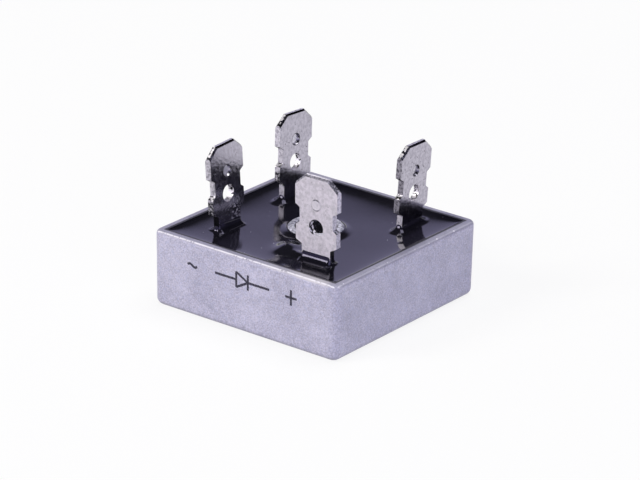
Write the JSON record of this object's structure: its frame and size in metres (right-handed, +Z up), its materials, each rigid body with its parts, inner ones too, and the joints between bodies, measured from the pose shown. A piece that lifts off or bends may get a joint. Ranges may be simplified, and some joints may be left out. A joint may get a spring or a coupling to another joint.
{
  "type": "bridge rectifier",
  "caption": "Bridge rectifier in a square metal can filled with black resin, with upright push-on tab terminals and a central screw hole that clamps its base to a heat sink.",
  "frame": {"origin": "on the base, at the middle of the screw hole", "axes": "+Z up, the way the terminals stand; -Y out of the marked side; the positive terminal at +X, -Y"},
  "size_m": [0.0284, 0.0284, 0.0206],
  "materials": {
    "case_metal": "matt blasted",
    "resin": "glossy",
    "tinned_terminal": "bright tin",
    "ceramic": "matt",
    "silicon": "polished",
    "solder": "satin"
  },
  "bodies": {
    "root": {"case": "case_metal", "insulating_plate": "ceramic", "plus_terminal": "tinned_terminal", "minus_terminal": "tinned_terminal", "ac_left_terminal": "tinned_terminal", "ac_right_terminal": "tinned_terminal", "solder_under_die_1": "solder", "diode_die_1": "silicon", "solder_over_die_1": "solder", "solder_under_die_2": "solder", "diode_die_2": "silicon", "solder_over_die_2": "solder", "solder_under_die_3": "solder", "diode_die_3": "silicon", "solder_over_die_3": "solder", "solder_under_die_4": "solder", "diode_die_4": "silicon", "solder_over_die_4": "solder", "potting": "resin"}
  },
  "joints": []
}
